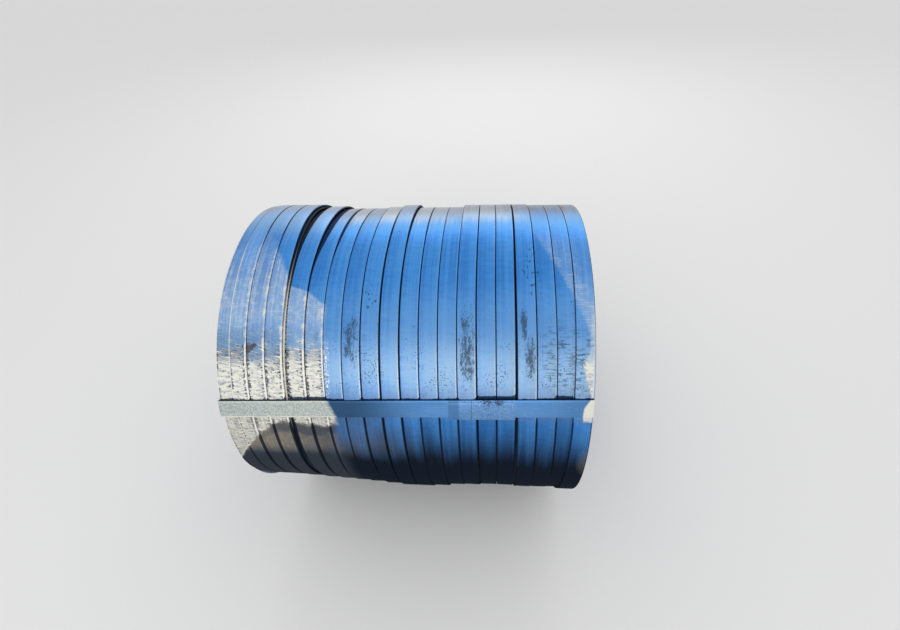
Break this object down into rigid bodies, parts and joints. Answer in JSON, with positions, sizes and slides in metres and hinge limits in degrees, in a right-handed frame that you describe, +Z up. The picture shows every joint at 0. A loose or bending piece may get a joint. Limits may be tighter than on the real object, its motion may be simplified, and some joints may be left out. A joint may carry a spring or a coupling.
{
  "type": "coil of grounding strip",
  "caption": "Coil of flat galvanised steel grounding strip in side-by-side turns with an open bore, lying on its side and bound lengthwise with flat steel straps.",
  "frame": {"origin": "on the floor, under the middle of the coil's bore", "axes": "+X along the bore, to the right in the picture's view; +Y away from the viewer; +Z up"},
  "size_m": [0.8134, 0.779, 0.7812],
  "materials": {
    "galvanised_strip": "rolled and galvanised, worn pale at the ends, with scratches along the strip",
    "strap_steel": "galvanised band, burnt dark at the welds"
  },
  "bodies": {
    "root": {"wound_strip": "galvanised_strip", "strap_front": "strap_steel", "strap_rear": "strap_steel", "strap_bottom": "strap_steel"}
  },
  "joints": []
}
